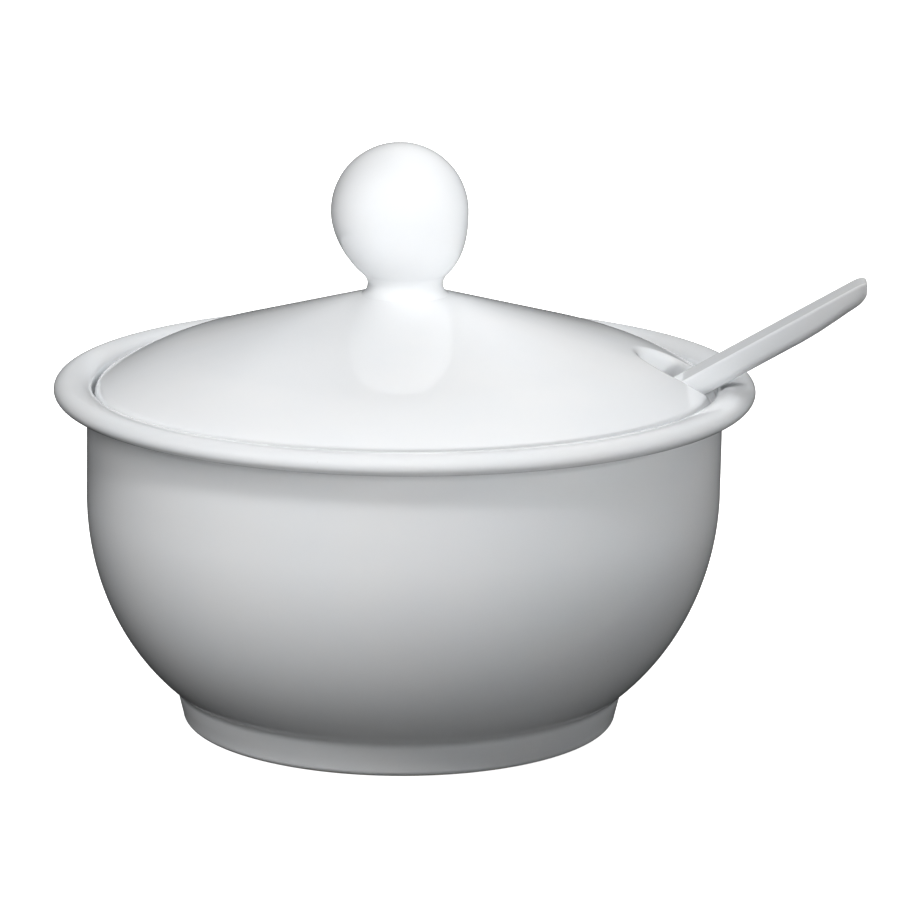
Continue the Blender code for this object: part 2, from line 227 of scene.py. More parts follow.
def turned(name, profile, steps, shape=None):
    """Solid of revolution about the bowl's axis; profile runs from the axis back to the axis.

    shape may move the finished vertices, given as an array.
    """
    rings = profile[1:-1]
    turn = 2 * np.pi * np.arange(steps) / steps
    vertices = [(0.0, 0.0, profile[0][1])]
    faces = [(0, 1 + j, 1 + (j + 1) % steps) for j in range(steps)]
    for index, (radius, height) in enumerate(rings):
        row = np.stack([radius * np.cos(turn), radius * np.sin(turn), np.full(steps, height)], axis=1)
        vertices.extend(map(tuple, row))
        if index:
            first = 1 + (index - 1) * steps
            faces += [face[::-1] for face in ring_faces(first, first + steps, steps)]
    last = len(vertices)
    vertices.append((0.0, 0.0, profile[-1][1]))
    first = last - steps
    faces += [(first + (j + 1) % steps, first + j, last) for j in range(steps)]
    points = np.array(vertices)
    if shape:
        points = shape(points)
    points[:, 0] += AXIS_X
    return mesh_object(name, points, faces)


def eased(value, low, high):
    """0 up to low, 1 from high on, with a smooth rise between them."""
    t = np.clip((np.asarray(value, float) - low) / (high - low), 0.0, 1.0)
    return t * t * (3 - 2 * t)


def hand_of_the_kiln(points, amount, phase):
    """Very slight out-of-round and twist, as fired porcelain has."""
    angle = np.arctan2(points[:, 1], points[:, 0])
    radius = np.hypot(points[:, 0], points[:, 1])
    swell = amount * (np.cos(2 * angle + phase) + 0.5 * np.cos(3 * angle - 2 * phase))
    swell *= eased(radius, 0.0, 20 * MM)
    points[:, 0] += swell * np.cos(angle)
    points[:, 1] += swell * np.sin(angle)
    return points


def edge_directions(mesh):
    """Every edge twice, as (from, to) arrays of vertex numbers: forwards and backwards."""
    pairs = np.empty(len(mesh.edges) * 2, int)
    mesh.edges.foreach_get("vertices", pairs)
    ends = pairs.reshape(-1, 2)
    return (ends[:, 0], ends[:, 1]), (ends[:, 1], ends[:, 0])


def mark_curvature(item):
    """Stores how each vertex bends: 1 on a crisp outer edge, -1 in a tight hollow, 0 where flat."""
    mesh = item.data
    count = len(mesh.vertices)
    places = np.empty(count * 3)
    mesh.vertices.foreach_get("co", places)
    places = places.reshape(-1, 3)
    normals = np.array([v.normal for v in mesh.vertices])
    directions = edge_directions(mesh)
    total = np.zeros(count)
    weight = np.zeros(count)
    neighbours = np.zeros(count)
    for a, b in directions:
        step = places[a] - places[b]
        length = np.maximum(np.linalg.norm(step, axis=1), SHORTEST_EDGE)
        np.add.at(total, a, 2 * np.einsum("ij,ij->i", normals[a], step) / length)
        np.add.at(weight, a, length)
        np.add.at(neighbours, a, 1.0)
    curve = np.tanh(BEND_LENGTH * total / np.maximum(weight, SHORTEST_EDGE))
    for _ in range(BEND_SMOOTHINGS):
        around = np.zeros(count)
        for a, b in directions:
            np.add.at(around, a, curve[b])
        curve = 0.5 * curve + 0.5 * around / np.maximum(neighbours, 1.0)
    # The bend steers the warmer, thinner glaze on outer edges and the painted shade in hollows.
    layer = mesh.attributes.new("glaze_and_shade_bend", "FLOAT", "POINT")
    layer.data.foreach_set("value", curve.astype(np.float32))


# ---------------------------------------------------------------- bowl

def bowl_profile():
    """From the middle of the floor, up the inside, over the rim, down the outside and under."""
    profile = [(0.0, FLOOR_Z)]
    profile += arc(CURVE_CENTRE, BODY_CURVE_WIDTH - WALL, BODY_TURN_Z - FLOOR_Z, -90, 0, 48)
    lip = (INNER_RADIUS + SEAT_CORNER, SEAT_Z - SEAT_CORNER)
    profile += arc(lip, SEAT_CORNER, SEAT_CORNER, 180, 90, 8)
    corner = (SEAT_RADIUS, SEAT_Z)
    profile += sweep((SEAT_RADIUS - SEAT_FILLET, SEAT_Z), corner, (SEAT_RADIUS, SEAT_Z + SEAT_FILLET), 6)
    bead = (BEAD_RADIUS, BEAD_Z)
    inner_half_width = BEAD_RADIUS - SEAT_RADIUS
    profile += arc(bead, inner_half_width, BEAD_HALF_HEIGHT, 172, 90, 22)
    profile += arc(bead, BEAD_HALF_WIDTH, BEAD_HALF_HEIGHT, 84, -90, 28)
    root = (BODY_RADIUS, BEAD_Z - BEAD_HALF_HEIGHT)
    profile += sweep(profile[-1], root, (BODY_RADIUS, root[1] - BEAD_ROOT), 12)
    profile.append((BODY_RADIUS, (root[1] + BODY_TURN_Z) / 2))
    curve_end = -math.degrees(math.asin((BODY_TURN_Z - BODY_END_Z) / BODY_CURVE_HEIGHT))
    profile += arc(CURVE_CENTRE, BODY_CURVE_WIDTH, BODY_CURVE_HEIGHT, 0, curve_end, 60)
    hollow = (FOOT_TOP_RADIUS, BODY_END_Z - FOOT_TOP_BLEND)
    profile += sweep(profile[-1], hollow, (FOOT_TOP_RADIUS, FOOT_TOP_Z), 8)
    outer = FOOT_LOW_RADIUS - FOOT_ROUND
    inner = outer - FOOT_CONTACT_WIDTH
    profile.append(((FOOT_TOP_RADIUS + FOOT_LOW_RADIUS) / 2, (FOOT_TOP_Z + FOOT_ROUND) / 2))
    profile += arc((outer, FOOT_ROUND), FOOT_ROUND, FOOT_ROUND, 0, -90, 10)
    profile += arc((inner, FOOT_ROUND), FOOT_ROUND, FOOT_ROUND, -90, -165, 8)
    bend = (inner - FOOT_INNER_BEND, FOOT_RECESS)
    profile += sweep(profile[-1], bend, (inner - FOOT_INNER_END, FOOT_RECESS), 8)
    profile.append((inner / 2, FOOT_RECESS))
    profile.append((0.0, FOOT_RECESS))
    return profile


def make_bowl():
    def shape(points):
        points = hand_of_the_kiln(points, BOWL_SWELL, phase=0.7)
        points[:, 0] += FOOT_SHIFT * (1 - eased(points[:, 2], 0.0, SEAT_Z))
        return points
    return turned("bowl_porcelain_body", bowl_profile(), BODY_STEPS, shape)


# ---------------------------------------------------------------- lid

MOUTH_Y = NOTCH_HALF_WIDTH + NOTCH_MOUTH_ROUND
MOUTH_REACH = LID_RADIUS - NOTCH_MOUTH_ROUND
MOUTH_X = math.sqrt(MOUTH_REACH ** 2 - MOUTH_Y ** 2)
NOTCH_END_X = NOTCH_REACH + NOTCH_HALF_WIDTH


def lid_top(radius):
    """Height of the lid's upper face: a straight flank that turns into a round shoulder."""
    radius = np.asarray(radius, float)
    straight = np.minimum(radius, LID_SHOULDER_START) - LID_CROWN_RADIUS
    height = LID_CROWN_Z - straight * math.tan(LID_FLANK_SLOPE)
    beyond = np.maximum(radius - LID_SHOULDER_START, 0.0)
    rise = math.sin(LID_FLANK_SLOPE) + beyond / LID_SHOULDER_RADIUS
    return height - LID_SHOULDER_RADIUS * (math.cos(LID_FLANK_SLOPE) - np.sqrt(1 - rise * rise))


def lid_under_profile():
    """(radius, height) points of the underside's flange, from the dome out to the edge."""
    start = FLANGE_INNER - FLANGE_FILLET
    dome = (start, float(lid_top(start)) - LID_THICKNESS)
    wall_top = (FLANGE_INNER - FLANGE_DRAFT, dome[1] - FLANGE_FILLET * FLANGE_FILLET_STRETCH)
    points = [dome] + sweep(dome, (wall_top[0], dome[1] - FLANGE_FILLET_GUIDE), wall_top, 8)
    low = FLANGE_LOW + FLANGE_ROUND
    points += arc((FLANGE_INNER + FLANGE_ROUND, low), FLANGE_ROUND, FLANGE_ROUND, 180, 270, 7)
    points += arc((FLANGE_OUTER - FLANGE_ROUND, low), FLANGE_ROUND, FLANGE_ROUND, 270, 360, 7)
    seat = FLANGE_OUTER + FLANGE_DRAFT
    points.append((seat, LID_SEAT_Z - FLANGE_ROOT_HEIGHT))
    points += sweep(points[-1], (seat, LID_SEAT_Z), (seat + FLANGE_ROOT_WIDTH, LID_SEAT_Z), 4)
    points.append((LID_RADIUS, LID_SEAT_Z))
    return points


UNDER_RADII, UNDER_HEIGHTS = map(np.array, zip(*lid_under_profile()))


def lid_under(radius):
    """Height of the lid's lower face."""
    dome = lid_top(radius) - LID_THICKNESS
    return np.where(radius < UNDER_RADII[0], dome, np.interp(radius, UNDER_RADII, UNDER_HEIGHTS))


def wall_angle(radius):
    """Half the angle that the notch takes out of a circle of that radius about the lid's axis."""
    if radius <= NOTCH_REACH:
        return 0.0
    side_start = math.hypot(NOTCH_END_X, NOTCH_HALF_WIDTH)
    side_end = math.hypot(MOUTH_X, NOTCH_HALF_WIDTH)
    if radius < side_start:
        cosine = (NOTCH_END_X ** 2 + radius ** 2 - NOTCH_HALF_WIDTH ** 2) / (2 * NOTCH_END_X * radius)
        return math.acos(min(1.0, cosine))
    if radius < side_end:
        return math.asin(NOTCH_HALF_WIDTH / radius)
    cosine = (MOUTH_REACH ** 2 + radius ** 2 - NOTCH_MOUTH_ROUND ** 2) / (2 * MOUTH_REACH * radius)
    return math.atan2(MOUTH_Y, MOUTH_X) - math.acos(min(1.0, cosine))


def notch_distance(x, y):
    """Distance from a point of the lid's plan to the notch's straight and round sides."""
    end = np.hypot(x - NOTCH_END_X, y) - NOTCH_HALF_WIDTH
    return np.maximum(np.where(x < NOTCH_END_X, end, np.abs(y) - NOTCH_HALF_WIDTH), 0.0)


def edge_distance(x, y):
    """Distance from a point of the lid's plan to its edge, the notch's edge included."""
    y = np.abs(y)
    rim = LID_RADIUS - np.hypot(x, y)
    end = np.hypot(x - NOTCH_END_X, y) - NOTCH_HALF_WIDTH
    side = np.where(x < NOTCH_END_X, end, y - NOTCH_HALF_WIDTH)
    corner_turn = np.arctan2(y - MOUTH_Y, x - MOUTH_X)
    corner = NOTCH_MOUTH_ROUND - np.hypot(x - MOUTH_X, y - MOUTH_Y)
    in_corner = (x > MOUTH_X) & (corner_turn < math.atan2(MOUTH_Y, MOUTH_X))
    notch = np.where(in_corner, corner, np.where(x > MOUTH_X, rim, side))
    return np.maximum(np.minimum(rim, notch), 0.0)


def rounding(distance, radius):
    """How far an edge of that rounding radius has dropped at a distance from the edge."""
    short = np.clip(1 - distance / radius, 0.0, 1.0)
    return radius * (1 - np.sqrt(1 - short * short))


def lid_radii():
    """Radii of the lid's rows, close together at the notch's end, the flange and the edges."""
    end_turns = np.radians(np.linspace(0, 90, 19))
    end_rows = np.sqrt(NOTCH_END_X ** 2 + NOTCH_HALF_WIDTH ** 2
                       - 2 * NOTCH_END_X * NOTCH_HALF_WIDTH * np.cos(end_turns))
    last = math.degrees(math.atan2(MOUTH_Y, MOUTH_X))
    mouth_turns = np.radians(np.linspace(-90, last, 22))
    mouth_rows = np.hypot(MOUTH_X + NOTCH_MOUTH_ROUND * np.cos(mouth_turns),
                          MOUTH_Y + NOTCH_MOUTH_ROUND * np.sin(mouth_turns))
    near_notch = NOTCH_REACH - np.append(EDGE_STEPS, [2.0 * MM, 2.8 * MM])
    near_edge = LID_RADIUS - np.append(EDGE_STEPS, 2.0 * MM)
    middle = np.linspace(VENT_RADIUS, NOTCH_REACH - 4.0 * MM, 26)
    everywhere = [middle, near_notch, end_rows, UNDER_RADII, mouth_rows, near_edge]
    radii = np.unique(np.round(np.concatenate(everywhere), 9))
    kept = [radii[0]]
    for radius in radii[1:]:
        if radius - kept[-1] > SHORTEST_STEP:
            kept.append(radius)
    kept[-1] = LID_RADIUS
    return kept


def lid_row(radius):
    """(x, y) places once round the lid at a radius, from one wall of the notch to the other.

    The first places keep their distance from the wall, and the rest share out what is left.
    """
    growing = EDGE_STEPS[-1] + np.cumsum(np.arange(4, 12)) * 0.1 * MM
    near = wall_angle(radius) + np.append(EDGE_STEPS, growing) / max(radius, NOTCH_REACH)
    far = near[-1] + (np.pi - near[-1]) * np.linspace(0.0, 1.0, 92)[1:]
    half = np.concatenate([near, far])
    turn = np.concatenate([half, (2 * np.pi - half)[::-1][1:]])
    return np.stack([radius * np.cos(turn), radius * np.sin(turn)], axis=1)


def lid_grid():
    """The lid's plan, and its vertex numbers as rows from the vent out to the edge.

    Rows within the notch's reach are closed, so their last number is their first one again.
    """
    plan = []
    numbers = []
    count = 0
    for radius in lid_radii():
        row = lid_row(radius)
        closed = radius <= NOTCH_REACH + SHORTEST_EDGE
        used = len(row) - 1 if closed else len(row)
        plan.append(row[:used])
        numbers.append([count + j % used for j in range(len(row))])
        count += used
    return np.concatenate(plan), numbers


def lid_outline(numbers):
    """The loop of vertex numbers along the notch's walls and the lid's edge."""
    closed = [row for row in numbers if row[0] == row[-1]]
    middle = numbers[len(closed):-1]
    start = [closed[-1][0]] + [row[0] for row in middle]
    return start + numbers[-1] + [row[-1] for row in reversed(middle)]


def side_wall(vertices, faces, loop, count, steps):
    """Adds quads down the lid's side, from a loop of upper vertices to the lower ones.

    vertices starts with count upper ones, and the lower one under each comes count later.
    """
    upper = np.array(loop)
    previous = list(loop)
    for step in range(1, steps + 1):
        if step == steps:
            current = [count + k for k in loop]
        else:
            share = step / steps
            current = [len(vertices) + k for k in range(len(loop))]
            between = vertices[upper] * (1 - share) + vertices[upper + count] * share
            vertices = np.concatenate([vertices, between])
        for k in range(len(loop)):
            following = (k + 1) % len(loop)
            faces.append((previous[k], current[k], current[following], previous[following]))
        previous = current
    return vertices


def make_lid():
    plan, numbers = lid_grid()
    count = len(plan)
    radius = np.hypot(plan[:, 0], plan[:, 1])
    distance = edge_distance(plan[:, 0], plan[:, 1])
    upper = lid_top(radius) - rounding(distance, LID_TOP_ROUND)
    beside = 1 - eased(notch_distance(plan[:, 0], plan[:, 1]), NOTCH_COLLAR_START, NOTCH_COLLAR_WIDTH)
    inward = 1 - eased(radius, FLANGE_INNER - COLLAR_TO_FLANGE, FLANGE_INNER)
    lower = lid_under(radius) - NOTCH_COLLAR * beside * inward + rounding(distance, LID_UNDER_ROUND)
    faces = []
    for row, outer in zip(numbers, numbers[1:]):
        for j in range(len(row) - 1):
            quad = (row[j], outer[j], outer[j + 1], row[j + 1])
            faces.append(quad)
            faces.append(tuple(count + k for k in reversed(quad)))
    vertices = np.concatenate([np.column_stack([plan, upper]), np.column_stack([plan, lower])])
    vertices = side_wall(vertices, faces, lid_outline(numbers), count, 5)
    vent = numbers[0][:-1]
    vertices = side_wall(vertices, faces, vent[::-1], count, 2)
    points = hand_of_the_kiln(vertices, LID_SWELL, phase=2.1)
    points[:, 0] += AXIS_X
    return mesh_object("lid_porcelain_cover", points, faces)


# ---------------------------------------------------------------- knob

def knob_profile():
    """From the top of the ball, down the neck and its fillet, and back up inside the vent."""
    ball = (0.0, BALL_Z)
    profile = arc(ball, BALL_RADIUS, BALL_RADIUS, 90, 0, 44)
    blend_angle = math.degrees(math.acos((NECK_RADIUS + NECK_TOP_BLEND) / BALL_RADIUS))
    profile += arc(ball, BALL_RADIUS, BALL_LOWER_HALF_HEIGHT, 0, -blend_angle, 30)[1:]
    foot_radius = NECK_RADIUS + NECK_FILLET
    foot = (foot_radius, float(lid_top(foot_radius)) - NECK_SINK)
    waist = (NECK_RADIUS, foot[1] + NECK_FILLET_STRETCH * NECK_FILLET)
    profile += sweep(profile[-1], (NECK_RADIUS, profile[-1][1] - NECK_TOP_GUIDE), waist, 10)
    profile += sweep(waist, (NECK_RADIUS, float(lid_top(NECK_RADIUS))), foot, 14)
    profile.append((foot_radius - PLUG_INSET, foot[1] - PLUG_DEPTH))
    profile.append((VENT_RADIUS + VENT_FLARE_WIDTH, foot[1] - PLUG_DEPTH))
    profile.append((VENT_RADIUS, foot[1] - VENT_FLARE_TOP))
    profile.append((VENT_RADIUS, foot[1] + VENT_DEPTH))
    profile.append((0.0, foot[1] + VENT_DEPTH))
    return profile


def make_knob():
    def shape(points):
        points = hand_of_the_kiln(points, KNOB_SWELL, phase=1.3)
        points[:, 0] += BALL_SHIFT * eased(points[:, 2], KNOB_LOW.z + 1.0 * MM, BALL_Z)
        return points
    return turned("knob_porcelain_ball", knob_profile(), KNOB_STEPS, shape)


# ---------------------------------------------------------------- spoon

def spoon_section(along):
    """Width, thickness, centre height, sag, and upper and lower edge rounding along the spoon."""
    full = eased(along, 0.0, TIP_TAPER)
    slim = eased(along, HANDLE_TAPER_START, SCOOP_START - SCOOP_BEND_LEAD)
    width = TIP_WIDTH + (HANDLE_WIDTH - TIP_WIDTH) * full + (NECK_WIDTH - HANDLE_WIDTH) * slim
    thickness = TIP_THICKNESS + (HANDLE_THICKNESS - TIP_THICKNESS) * full
    centre = HANDLE_THICKNESS - thickness / 2
    scooped = eased(along, SCOOP_START - 2 * SCOOP_BEND_LEAD, SCOOP_START + SCOOP_BEND_LEAD)
    thickness = thickness + (SCOOP_THICKNESS - thickness) * scooped
    sag = 0.0
    if along > SCOOP_START:
        across = (along - SCOOP_START) / (SCOOP_LENGTH / 2) - 1.0
        dish = max(0.0, 1.0 - across * across)
        sag = SCOOP_DEPTH * dish
        oval = SCOOP_WIDTH * math.sqrt(dish)
        width = oval if across > 0.0 else max(width, oval)
    bent = (along - SCOOP_START + SCOOP_BEND_LEAD) / (SCOOP_LENGTH + SCOOP_BEND_LEAD)
    centre = centre + SCOOP_RISE * max(0.0, bent) ** SCOOP_BEND_POWER
    full_round = SCOOP_ROUND_SHARE * float(thickness)
    upper = HANDLE_TOP_ROUND + (full_round - HANDLE_TOP_ROUND) * scooped
    lower = HANDLE_LOW_ROUND + (full_round - HANDLE_LOW_ROUND) * scooped
    return float(width), float(thickness), float(centre), sag, float(upper), float(lower)


def section_outline(width, thickness, upper, lower):
    """A rectangle with rounded corners about the origin, always with the same point count."""
    upper = min(upper, WIDEST_ROUND_SHARE * width)
    lower = min(lower, WIDEST_ROUND_SHARE * width)
    quarters = [(1, 1, upper), (-1, 1, upper), (-1, -1, lower), (1, -1, lower)]
    corners = []
    for index, (side, up, radius) in enumerate(quarters):
        start = 90 * index
        centre = (side * (width / 2 - radius), up * (thickness / 2 - radius))
        corners.append(arc(centre, radius, radius, start, start + 90, 7))
    points = []
    for index, corner in enumerate(corners):
        points += corner
        following = corners[(index + 1) % 4]
        steps = SIDE_STEPS if index % 2 else FACE_STEPS
        for k in range(1, steps + 1):
            share = k / (steps + 1)
            points.append(tuple(np.array(corner[-1]) * (1 - share) + np.array(following[0]) * share))
    return np.array(points)


def spoon_stations():
    tip = TIP_ROUND * (1 - np.cos(np.linspace(0, np.pi / 2, 12)))
    handle = np.linspace(TIP_ROUND, SCOOP_START, 60)[1:]
    turn = np.linspace(0, np.pi, 46)[1:-1]
    scoop = SCOOP_START + SCOOP_LENGTH * (1 - np.cos(turn)) / 2
    return np.concatenate([tip, handle, scoop])


def make_spoon():
    rings = []
    for along in spoon_stations():
        width, thickness, centre, sag, upper, lower = spoon_section(along)
        short = 1 - min(1.0, along / TIP_ROUND)
        size = TIP_BLUNTNESS + (1 - TIP_BLUNTNESS) * math.sqrt(max(0.0, 1 - short * short))
        outline = section_outline(width, thickness, upper, lower) * size
        side = outline[:, 0] / (width / 2)
        height = centre - sag * (1 - side * side) + outline[:, 1]
        slant = math.tan(SPOON_SLOPE) * float(1 - eased(along, 0.0, TIP_SLANT_LENGTH))
        rings.append(np.stack([slant * outline[:, 1] - along, outline[:, 0], height], axis=1))
    count = len(rings[0])
    vertices = np.concatenate(rings)
    faces = []
    for row in range(len(rings) - 1):
        faces += [face[::-1] for face in ring_faces(row * count, (row + 1) * count, count)]
    ends = [rings[0].mean(axis=0), rings[-1].mean(axis=0)]
    vertices = np.concatenate([vertices, ends])
    first, last = len(vertices) - 2, len(vertices) - 1
    top = (len(rings) - 1) * count
    faces += [(first, j, (j + 1) % count) for j in range(count)]
    faces += [(last, top + (j + 1) % count, top + j) for j in range(count)]
    turn = np.array(Matrix.Rotation(-SPOON_SLOPE, 3, "Y"))
    vertices = vertices @ turn.T
    low, high = vertices.min(axis=0), vertices.max(axis=0)
    vertices[:, 0] += SPOON_HIGH.x - high[0]
    vertices[:, 1] += (SPOON_LOW.y + SPOON_HIGH.y) / 2
    vertices[:, 2] += SPOON_LOW.z - low[2]
    return mesh_object("spoon_porcelain_loft", vertices, faces)


# ---------------------------------------------------------------- porcelain

WHITE = (0.84, 0.85, 0.86)
CLOUDED = (0.975, 0.985, 0.995)  # shares of the white that are left in slow clouds, in hollows, where it is painted shade, and on outer edges
HOLLOW_SHADE = (0.90, 0.935, 0.95)     # in hollows
THINNED = (1.0, 0.985, 0.955)    # and on outer edges
IRON_SPECK = (0.42, 0.38, 0.33)
BISCUIT_LIGHT = (0.72, 0.69, 0.63)
BISCUIT_DARK = (0.60, 0.57, 0.51)
SPECK_CELLS = 300.0              # cells to the metre
SPECK_CHANCE = 0.988             # only cells with a random value over this hold a speck
SPECK_CORE = 0.03                # of a cell
SPECK_EDGE = 0.055
SPECK_STRENGTH = 0.35
HOLLOW_SHADE_STRENGTH = 0.55
RIDGE_STRENGTH = 0.6
SMOOTHEST = 0.04
DULLEST = 0.08
EDGE_DULLING = 0.06
RIPPLE_DEPTH = 0.03 * MM
PEEL_DEPTH = 0.003 * MM
BARE_TOP = 0.30 * MM             # the glaze ends about here over the contact ring
BARE_FULL = 0.14 * MM
BARE_WANDER = 0.25 * MM
BISCUIT_ROUGHNESS = 0.85

# Spots of noise to the metre
CLOUD_GRAIN = 55.0
RIPPLE_GRAIN = 70.0
SMEAR_GRAIN = 130.0
WANDER_GRAIN = 160.0
PAPER_GRAIN = 400.0
PEEL_GRAIN = 750.0
BISCUIT_GRAIN = 2600.0


class Shading:
    """A new material with one principled shader, and short ways to add the nodes used here."""

    def __init__(self, name):
        self.material = bpy.data.materials.new(name)
        self.material.use_nodes = True
        self.nodes = self.material.node_tree.nodes
        self.nodes.clear()
        output = self.nodes.new("ShaderNodeOutputMaterial")
        self.shader = self.nodes.new("ShaderNodeBsdfPrincipled")
        self.link(self.shader.outputs["BSDF"], output.inputs["Surface"])
        self.object_place = self.nodes.new("ShaderNodeTexCoord").outputs["Object"]

    def link(self, output, socket):
        self.material.node_tree.links.new(output, socket)

    def fill(self, socket, value):
        """Sets a socket to a number or a colour, or links it to another node's output."""
        if isinstance(value, bpy.types.NodeSocket):
            self.link(value, socket)
        elif isinstance(value, tuple):
            socket.default_value = (*value, 1.0)
        else:
            socket.default_value = value

    def noise(self, place, scale, detail, rough=0.5):
        node = self.nodes.new("ShaderNodeTexNoise")
        node.inputs["Scale"].default_value = scale
        node.inputs["Detail"].default_value = detail
        node.inputs["Roughness"].default_value = rough
        self.link(place, node.inputs["Vector"])
        return node.outputs["Fac"]

    def remap(self, value, from_low, from_high, to_low, to_high):
        node = self.nodes.new("ShaderNodeMapRange")
        node.inputs["From Min"].default_value = from_low
        node.inputs["From Max"].default_value = from_high
        node.inputs["To Min"].default_value = to_low
        node.inputs["To Max"].default_value = to_high
        self.link(value, node.inputs["Value"])
        return node.outputs["Result"]

    def math(self, operation, a, b):
        node = self.nodes.new("ShaderNodeMath")
        node.operation = operation
        self.fill(node.inputs[0], a)
        self.fill(node.inputs[1], b)
        return node.outputs["Value"]

    def mix(self, share, a, b):
        node = self.nodes.new("ShaderNodeMix")
        node.data_type = "RGBA"
        self.link(share, node.inputs["Factor"])
        self.fill(node.inputs["A"], a)
        self.fill(node.inputs["B"], b)
        return node.outputs["Result"]

    def bump(self, height, depth, normal=None):
        node = self.nodes.new("ShaderNodeBump")
        node.inputs["Strength"].default_value = 1.0
        node.inputs["Distance"].default_value = depth
        self.link(height, node.inputs["Height"])
        if normal:
            self.link(normal, node.inputs["Normal"])
        return node.outputs["Normal"]


def toned(shares):
    return tuple(white * share for white, share in zip(WHITE, shares))


def add_specks(look, place, surface):
    """Pinhead iron specks, in a few cells only."""
    cells = look.nodes.new("ShaderNodeTexVoronoi")
    cells.inputs["Scale"].default_value = SPECK_CELLS
    look.link(place, cells.inputs["Vector"])
    spot = look.remap(cells.outputs["Distance"], SPECK_CORE, SPECK_EDGE, 1.0, 0.0)
    channels = look.nodes.new("ShaderNodeSeparateColor")
    look.link(cells.outputs["Color"], channels.inputs["Color"])
    rare = look.math("GREATER_THAN", channels.outputs["Red"], SPECK_CHANCE)
    speck = look.math("MULTIPLY", look.math("MULTIPLY", spot, rare), SPECK_STRENGTH)
    return look.mix(speck, surface, IRON_SPECK)


def add_bare_ring(look, place, surface, roughness):
    """Unglazed, grainy biscuit where the foot stands, with a slightly wandering edge."""
    split = look.nodes.new("ShaderNodeSeparateXYZ")
    look.link(look.object_place, split.inputs["Vector"])
    wander = look.remap(look.noise(place, WANDER_GRAIN, 3.0), 0.3, 0.7, 0.0, BARE_WANDER)
    height = look.math("SUBTRACT", split.outputs["Z"], wander)
    bare = look.remap(height, BARE_TOP, BARE_FULL, 0.0, 1.0)
    grain = look.remap(look.noise(place, BISCUIT_GRAIN, 2.0), 0.35, 0.65, 0.0, 1.0)
    surface = look.mix(bare, surface, look.mix(grain, BISCUIT_LIGHT, BISCUIT_DARK))
    roughness = look.math("MAXIMUM", roughness, look.math("MULTIPLY", bare, BISCUIT_ROUGHNESS))
    return surface, roughness


def porcelain(name, offset, bare_foot=False):
    """White porcelain under a clear gloss glaze.

    The glaze is a little thinner and warmer over outer edges, and hollows are painted a little greyer as
    shade;
    it holds a few pinhead iron specks, and its surface has a fine orange peel on a slow ripple.
    offset moves the noise along, so that no two pieces have the same.
    """
    look = Shading(name)
    shifted = look.nodes.new("ShaderNodeMapping")
    shifted.inputs["Location"].default_value = (offset, 0.37 * offset, -0.71 * offset)
    look.link(look.object_place, shifted.inputs["Vector"])
    place = shifted.outputs["Vector"]

    cloud = look.remap(look.noise(place, CLOUD_GRAIN, 3.0), 0.35, 0.65, 0.0, 1.0)
    surface = look.mix(cloud, WHITE, toned(CLOUDED))
    bend = look.nodes.new("ShaderNodeAttribute")
    bend.attribute_name = "glaze_and_shade_bend"
    # Painted shade: tight hollows are painted greyer, as if shade falls there.
    hollow = look.remap(bend.outputs["Fac"], -0.05, -0.6, 0.0, HOLLOW_SHADE_STRENGTH)
    surface = look.mix(hollow, surface, toned(HOLLOW_SHADE))
    ridge = look.remap(bend.outputs["Fac"], 0.25, 0.85, 0.0, RIDGE_STRENGTH)
    surface = look.mix(ridge, surface, toned(THINNED))
    surface = add_specks(look, place, surface)

    smear = look.noise(place, SMEAR_GRAIN, 4.0, 0.6)
    roughness = look.remap(smear, 0.3, 0.7, SMOOTHEST, DULLEST)
    roughness = look.math("ADD", roughness, look.math("MULTIPLY", ridge, EDGE_DULLING))
    if bare_foot:
        surface, roughness = add_bare_ring(look, place, surface, roughness)
    ripple = look.bump(look.noise(place, RIPPLE_GRAIN, 1.0), RIPPLE_DEPTH)
    peel = look.bump(look.noise(place, PEEL_GRAIN, 2.0), PEEL_DEPTH, ripple)

    shader = look.shader
    look.link(surface, shader.inputs["Base Color"])
    look.link(roughness, shader.inputs["Roughness"])
    look.link(peel, shader.inputs["Normal"])
    shader.inputs["IOR"].default_value = 1.5
    shader.inputs["Subsurface Weight"].default_value = 0.12
    shader.inputs["Subsurface Radius"].default_value = (1.0, 0.95, 0.9)
    shader.inputs["Subsurface Scale"].default_value = 1.2 * MM
    return look.material


# ---------------------------------------------------------------- studio

# Azimuths start at the camera's side and grow towards +X; all angles are in degrees.
CAMERA_AZIMUTH = 3.0
CAMERA_ELEVATION = 14.6
CAMERA_ROLL = 0.29
CAMERA_DISTANCE = 0.85
CAMERA_LENS = 196.8
LOOK_HEIGHT = 30 * MM            # the camera goes round this height on the bowl's axis,
AIM_RIGHT = 0.536                # and looks this far right of it
AIM_UP = 1.130                   # and this far above it
LIGHT_HEIGHT = 40 * MM           # and the lights go round this one
SOFTBOX_DISTANCE = 0.9
BEAM_DISTANCE = 1.0
BEAM_SOFTNESS = 0.09
KNOB_TOP = (AXIS_X, 0.0, 100 * MM)
LEFT_OF_KNOB = (AXIS_X - 30 * MM, 0.0, 100 * MM)
UPPER_BODY = (AXIS_X - 5 * MM, 0.0, 55 * MM)
ROOM_TINT = (0.93, 0.96, 1.0, 1.0)
ROOM_STRENGTH = 0.02
FLOOR_HALF_SIZE = 6.0
FLOOR_DROP = 0.05 * MM           # so that the floor and the contact ring never share a plane
FLOOR_GLOW = 1.0
PAPER_DARK = (0.80, 0.80, 0.80)
PAPER_LIGHT = (0.84, 0.84, 0.84)


def outward(azimuth, elevation):
    """Unit vector from the bowl towards a direction given in degrees."""
    a, e = math.radians(azimuth), math.radians(elevation)
    return Vector((math.sin(a) * math.cos(e), -math.cos(a) * math.cos(e), math.sin(e)))


